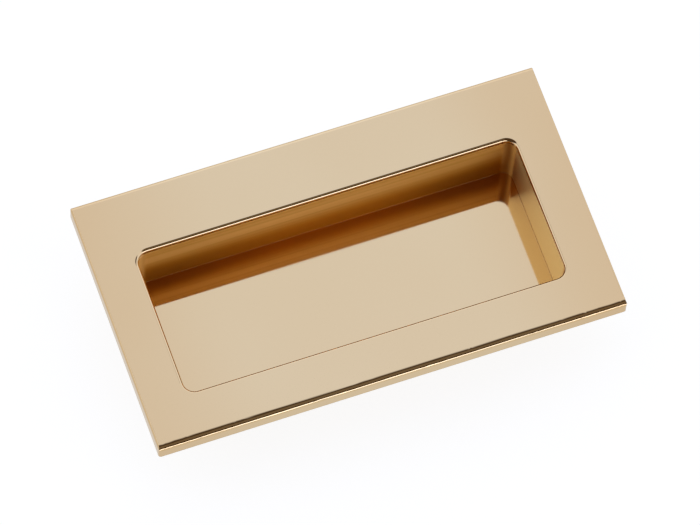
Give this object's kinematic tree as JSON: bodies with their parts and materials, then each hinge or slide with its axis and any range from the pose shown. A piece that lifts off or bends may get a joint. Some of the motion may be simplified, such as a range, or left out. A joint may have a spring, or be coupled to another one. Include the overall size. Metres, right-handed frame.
{
  "type": "pocket door pull",
  "caption": "Rectangular recessed flush pull in polished brass: a thick plate with a finger pocket set towards its lower edge, and a plain cup behind.",
  "frame": {"origin": "centre of the plate's back, in the plane that seats on the door's surface", "axes": "+X along the plate's long side, +Y towards the wide border, +Z out of the face, towards the user"},
  "size_m": [0.102, 0.0572, 0.0181],
  "materials": {
    "polished_brass": "mirror polished, warm gold"
  },
  "bodies": {
    "root": {"pull_body": "polished_brass"}
  },
  "joints": []
}
